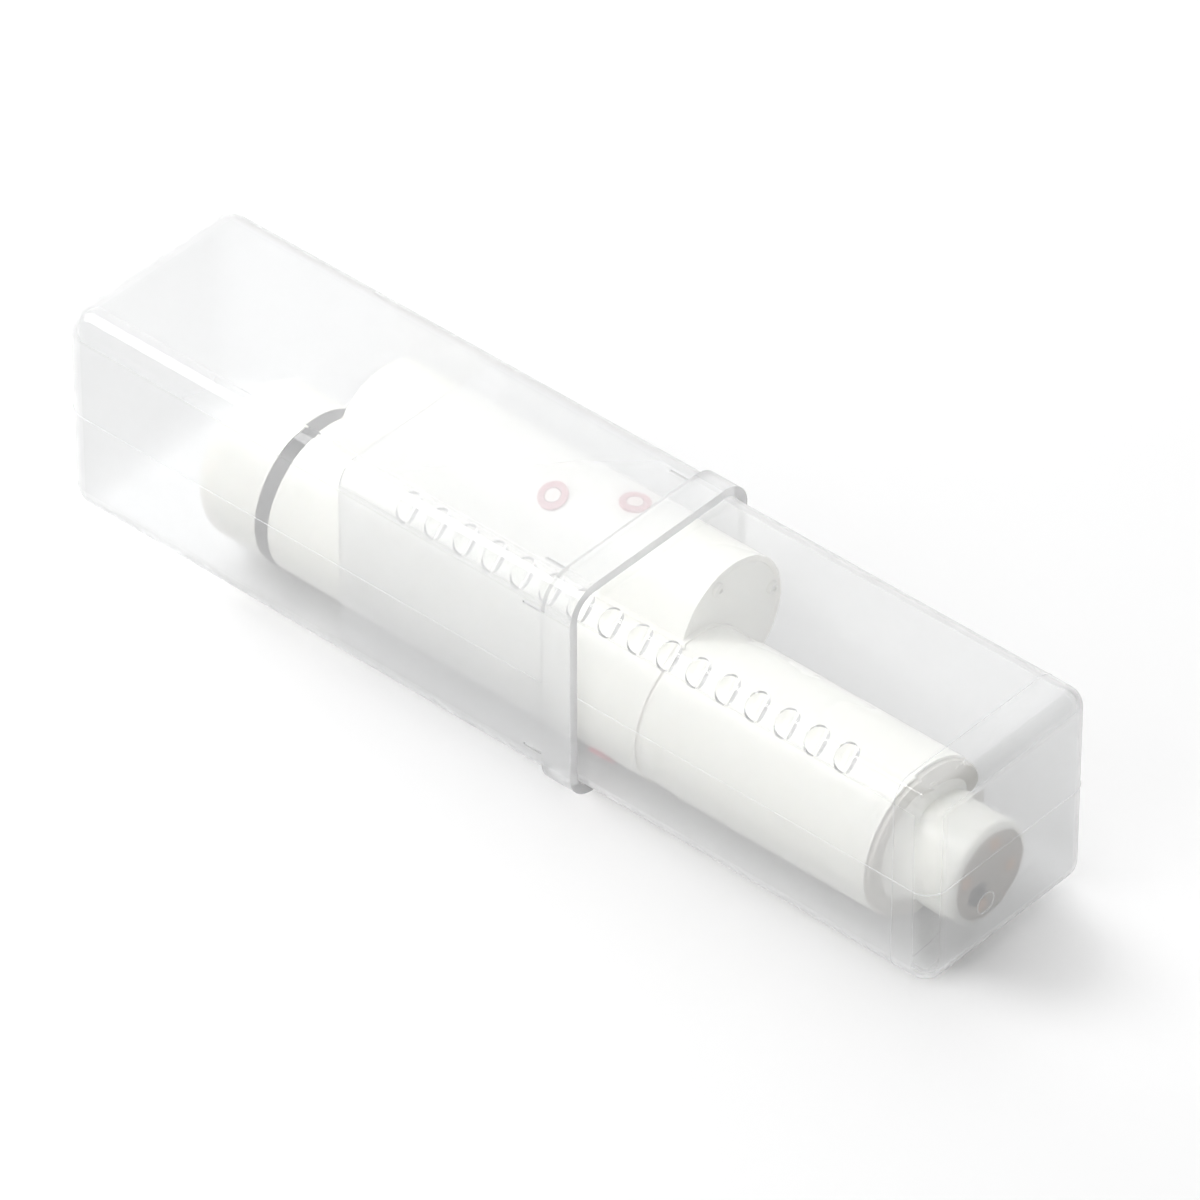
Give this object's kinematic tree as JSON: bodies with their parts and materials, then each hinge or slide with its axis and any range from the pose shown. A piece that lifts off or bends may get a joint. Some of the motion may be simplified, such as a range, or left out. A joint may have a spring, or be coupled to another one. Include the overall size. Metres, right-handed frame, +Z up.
{
  "type": "toothbrush sanitizer",
  "caption": "Portable toothbrush sanitizer: a round ivory UV tube with a pull-off cap and two push buttons, kept in a clear telescoping square case.",
  "frame": {"origin": "centre of the underside of the whole object as set, on the floor", "axes": "+X along the case toward the ratchet tube's closed end, +Y to the unit's control housing side, +Z up"},
  "size_m": [0.3038, 0.0696, 0.0696],
  "materials": {
    "clear_case": "clear, very slightly milky, glossy",
    "ivory_shell": "glossy ivory",
    "dark_trim": "satin dark grey",
    "red_silicone": "satin red",
    "pale_button": "glossy pale pink",
    "black_plastic": "matte blue black",
    "circuit_board": "solder mask green",
    "led_package": "pale violet",
    "lamp_window": "clear",
    "reflector": "polished",
    "inner_plastic": "matte",
    "battery_wrap": "shrink wrap",
    "copper": "bright",
    "foot_plate": "beige",
    "grey_gasket": "satin warm grey",
    "painted_screw": "painted ivory"
  },
  "bodies": {
    "sleeve": {"outer_sleeve": "clear_case"},
    "ratchet_tube": {"inner_tube": "clear_case"},
    "unit": {"brush_tube": "ivory_shell", "trim_ring": "dark_trim", "cap_seal": "dark_trim", "control_housing": "ivory_shell", "housing_end_plates": "ivory_shell", "housing_screws": "painted_screw", "button_bezels": "red_silicone", "tact_switches": "black_plastic", "control_board": "circuit_board", "lamp_board": "circuit_board", "uv_leds": "led_package", "lamp_window": "lamp_window", "reflector_liner": "reflector", "brush_rests": "inner_plastic", "joint_collar": "ivory_shell", "bulkhead": "inner_plastic", "rear_shell": "ivory_shell", "battery_cell": "battery_wrap", "battery_cradle": "inner_plastic", "battery_contacts": "copper", "shoulder_gasket": "grey_gasket", "charging_foot": "ivory_shell", "foot_plate": "foot_plate", "contact_pads": "copper", "charging_socket": "black_plastic", "drain_plug": "red_silicone"},
    "cap": {"end_cap": "ivory_shell"},
    "power": {"power_button": "pale_button"},
    "mode": {"mode_button": "pale_button"}
  },
  "joints": [
    {"name": "case_slide", "type": "slide", "parent": "sleeve", "child": "ratchet_tube", "axis": [1, 0, 0], "range_m": [-0.02, 0.06]},
    {"name": "unit_slide", "type": "slide", "parent": "ratchet_tube", "child": "unit", "axis": [1, 0, 0], "range_m": [-0.005, 0]},
    {"name": "cap_pull", "type": "slide", "parent": "unit", "child": "cap", "axis": [-1, 0, 0], "range_m": [0, 0.012]},
    {"name": "power_press", "type": "slide", "parent": "unit", "child": "power", "axis": [0, 0.4226, -0.9063], "range_m": [0, 0.0005], "stiffness_N_per_m": 400, "springref_m": -0.0003},
    {"name": "mode_press", "type": "slide", "parent": "unit", "child": "mode", "axis": [0, -0.1045, -0.9945], "range_m": [0, 0.0005], "stiffness_N_per_m": 400, "springref_m": -0.0003}
  ]
}
